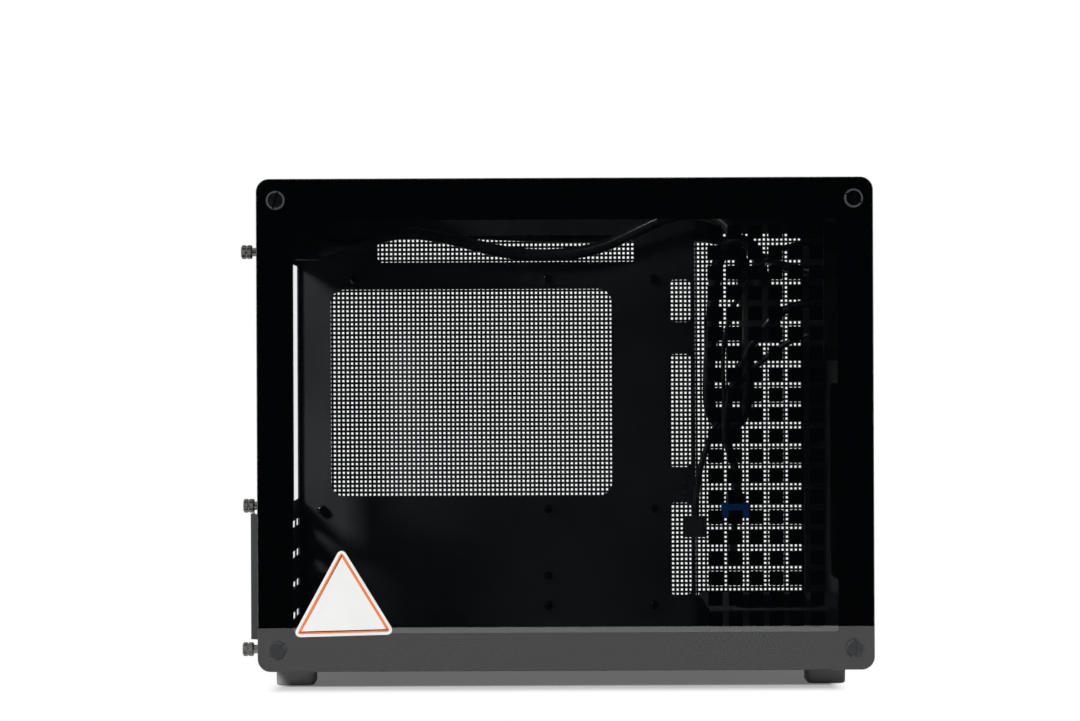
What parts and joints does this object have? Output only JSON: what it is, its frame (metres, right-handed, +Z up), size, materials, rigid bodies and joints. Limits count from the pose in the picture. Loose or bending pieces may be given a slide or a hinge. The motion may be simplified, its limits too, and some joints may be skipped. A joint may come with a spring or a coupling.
{
  "type": "computer case",
  "caption": "Small upright computer case with a glass side held by corner screws, a perforated far side and an open steel interior.",
  "frame": {"origin": "on the resting plane, below the middle of the whole outline, screw heads included", "axes": "+X from the rear to the front, +Y from the glass to the perforated side, +Z up"},
  "size_m": [0.4042, 0.2084, 0.324],
  "materials": {
    "clear_glass": "clear toughened glass",
    "black_print": "black screen-printed ink",
    "sticker_film": "white film with an orange edge line",
    "black_screw": "black plated",
    "black_rubber": "matt",
    "bright_steel": "nickel plated",
    "dark_standoff": "black plated",
    "black_steel": "fine black powder coat",
    "black_plastic": "fine moulded grain",
    "blue_plastic": "moulded",
    "green_board": "lacquered",
    "cord_sheath": "soft sheath"
  },
  "bodies": {
    "chassis": {"audio_cable": "cord_sheath", "audio_connector": "black_plastic", "audio_jack": "black_plastic", "filter_rail_front": "black_plastic", "filter_rail_rear": "black_plastic", "foot_front_far": "black_rubber", "foot_front_near": "black_rubber", "foot_rear_far": "black_rubber", "foot_rear_near": "black_rubber", "front_channel": "black_steel", "glass_nuts": "bright_steel", "glass_panel": "clear_glass", "glass_print": "black_print", "glass_screws": "black_screw", "glass_sticker": "sticker_film", "glass_washers": "black_rubber", "inlet_boot": "black_rubber", "inlet_pins": "bright_steel", "mains_extension_cord": "cord_sheath", "mains_inlet": "black_plastic", "mains_plug": "black_plastic", "mesh_panel": "black_steel", "mesh_panel_thumbscrews": "black_screw", "motherboard_tray": "black_steel", "outer_wrap": "black_steel", "port_board": "green_board", "port_strip": "black_plastic", "power_switch": "bright_steel", "rear_panel": "black_steel", "side_frame": "black_steel", "side_frame_thumbscrews": "black_screw", "slot_cover_1": "black_steel", "slot_cover_2": "black_steel", "slot_cover_3": "black_steel", "slot_cover_4": "black_steel", "slot_guard": "black_steel", "slot_guard_thumbscrew": "black_screw", "standoffs": "dark_standoff", "supply_carrier": "black_steel", "switch_cable": "cord_sheath", "switch_connector": "black_plastic", "usb_c_cable": "cord_sheath", "usb_c_connector": "black_plastic", "usb_c_port": "bright_steel", "usb_cable": "cord_sheath", "usb_connector": "blue_plastic", "usb_port_1": "bright_steel", "usb_port_2": "bright_steel"},
    "button": {"power_button": "black_plastic"},
    "filter": {"dust_filter": "black_plastic"}
  },
  "joints": [
    {"name": "power_button_press", "type": "slide", "parent": "chassis", "child": "button", "axis": [-1, 0, 0], "range_m": [0, 0.0015], "stiffness_N_per_m": 600, "springref_m": -0.001},
    {"name": "dust_filter_slide", "type": "slide", "parent": "chassis", "child": "filter", "axis": [0, 1, 0], "range_m": [0, 0.12]}
  ]
}
